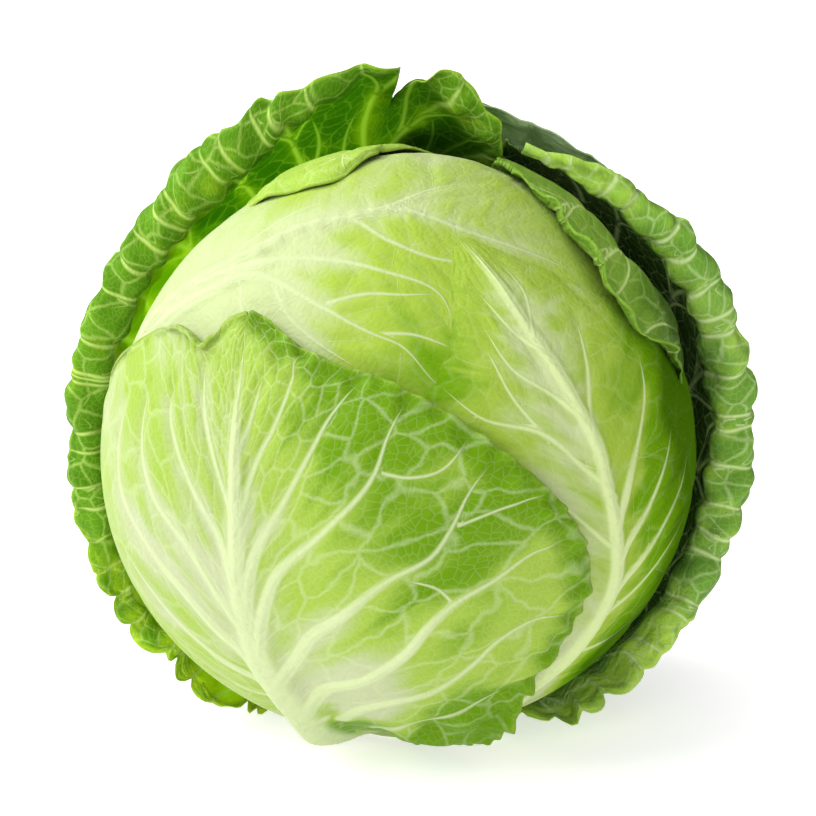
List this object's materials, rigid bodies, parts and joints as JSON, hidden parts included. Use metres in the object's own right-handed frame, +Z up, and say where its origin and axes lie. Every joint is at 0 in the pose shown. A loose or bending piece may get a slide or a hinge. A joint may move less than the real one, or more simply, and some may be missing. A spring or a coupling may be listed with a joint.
{
  "type": "cabbage head",
  "caption": "Whole head of white cabbage: pale ribbed leaves closed round a dense heart, loose dark outer leaves with rolled margins behind it, standing on its cut stem",
  "frame": {"origin": "centre of the stem's flat cut face, on which the head stands", "axes": "+Z up, away from the cut face; -Y the front, where the pale front leaf shows; +X to the right seen from the front"},
  "size_m": [0.1983, 0.1804, 0.1866],
  "materials": {
    "heart": "pale yellow-white packed leaf",
    "stem": "matt cut stalk",
    "upper_leaf": "waxy pale green leaf, near-white ribs",
    "back_leaf": "waxy light green leaf",
    "right_leaf": "waxy green leaf, pale midrib",
    "side_leaf": "waxy mid green leaf",
    "front_leaf": "waxy pale green leaf, pale ribs and veins",
    "left_wrapper": "waxy dark green leaf with a grey bloom",
    "right_wrapper": "waxy dark green leaf with a grey bloom",
    "back_wrapper": "waxy dark grey-green leaf"
  },
  "bodies": {
    "root": {"heart": "heart", "stem": "stem", "upper_leaf": "upper_leaf", "back_leaf": "back_leaf", "right_leaf": "right_leaf", "side_leaf": "side_leaf", "front_leaf": "front_leaf", "left_wrapper": "left_wrapper", "right_wrapper": "right_wrapper", "back_wrapper": "back_wrapper"}
  },
  "joints": []
}
